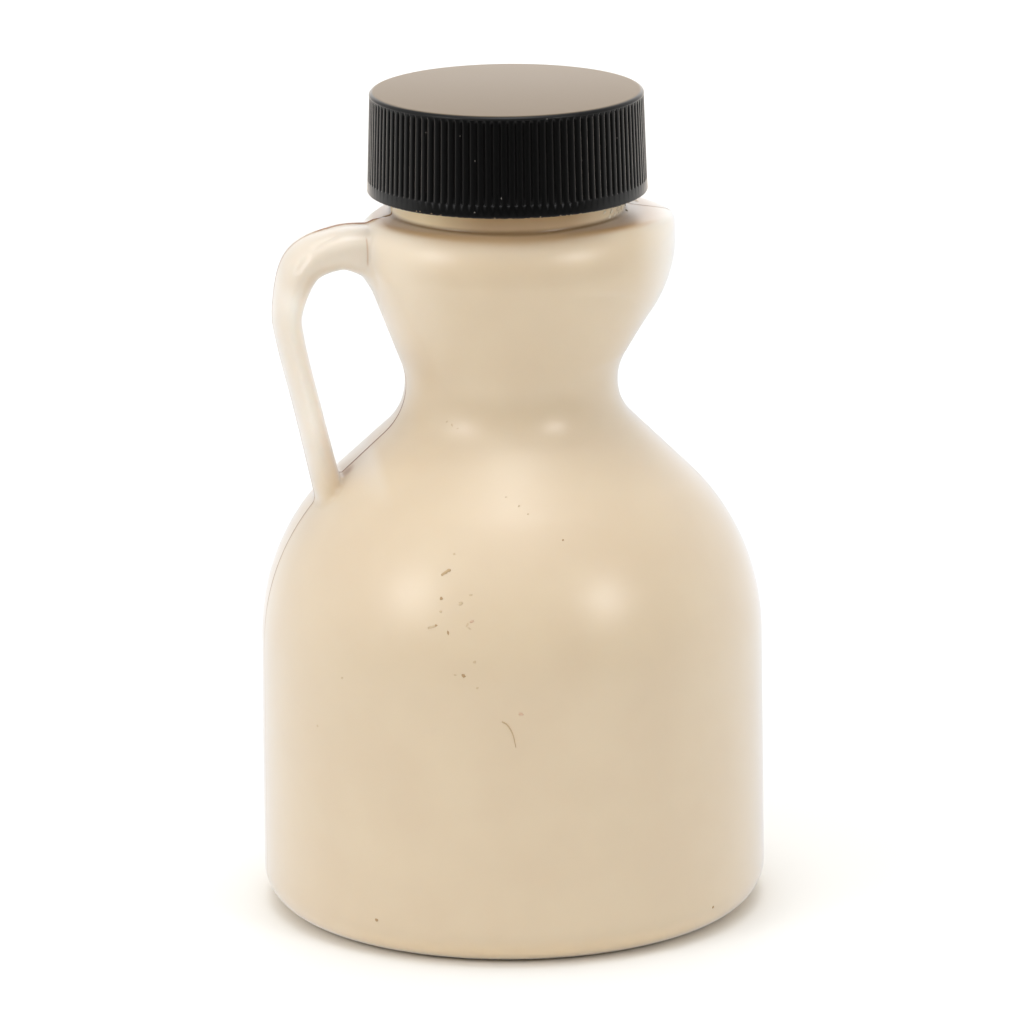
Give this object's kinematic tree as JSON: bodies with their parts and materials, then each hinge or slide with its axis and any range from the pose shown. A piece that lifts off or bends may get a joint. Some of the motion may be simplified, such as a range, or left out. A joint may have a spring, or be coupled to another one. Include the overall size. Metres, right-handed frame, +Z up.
{
  "type": "maple syrup jug",
  "caption": "Small round blow-moulded jug with a domed shoulder, pinched waist, pouring lip and side loop handle, closed by a ribbed black screw cap.",
  "frame": {"origin": "on the jug's axis, in the plane of the ring that it stands on", "axes": "+Z up along the axis, +X towards the pouring lip, so the handle is on -X and the parting plane is y = 0"},
  "size_m": [0.0552, 0.0552, 0.0901],
  "materials": {
    "jug_plastic": "satin beige blow-moulded polyethylene",
    "cap_plastic": "satin black moulded polypropylene"
  },
  "bodies": {
    "root": {"jug": "jug_plastic", "cap": "cap_plastic"}
  },
  "joints": []
}
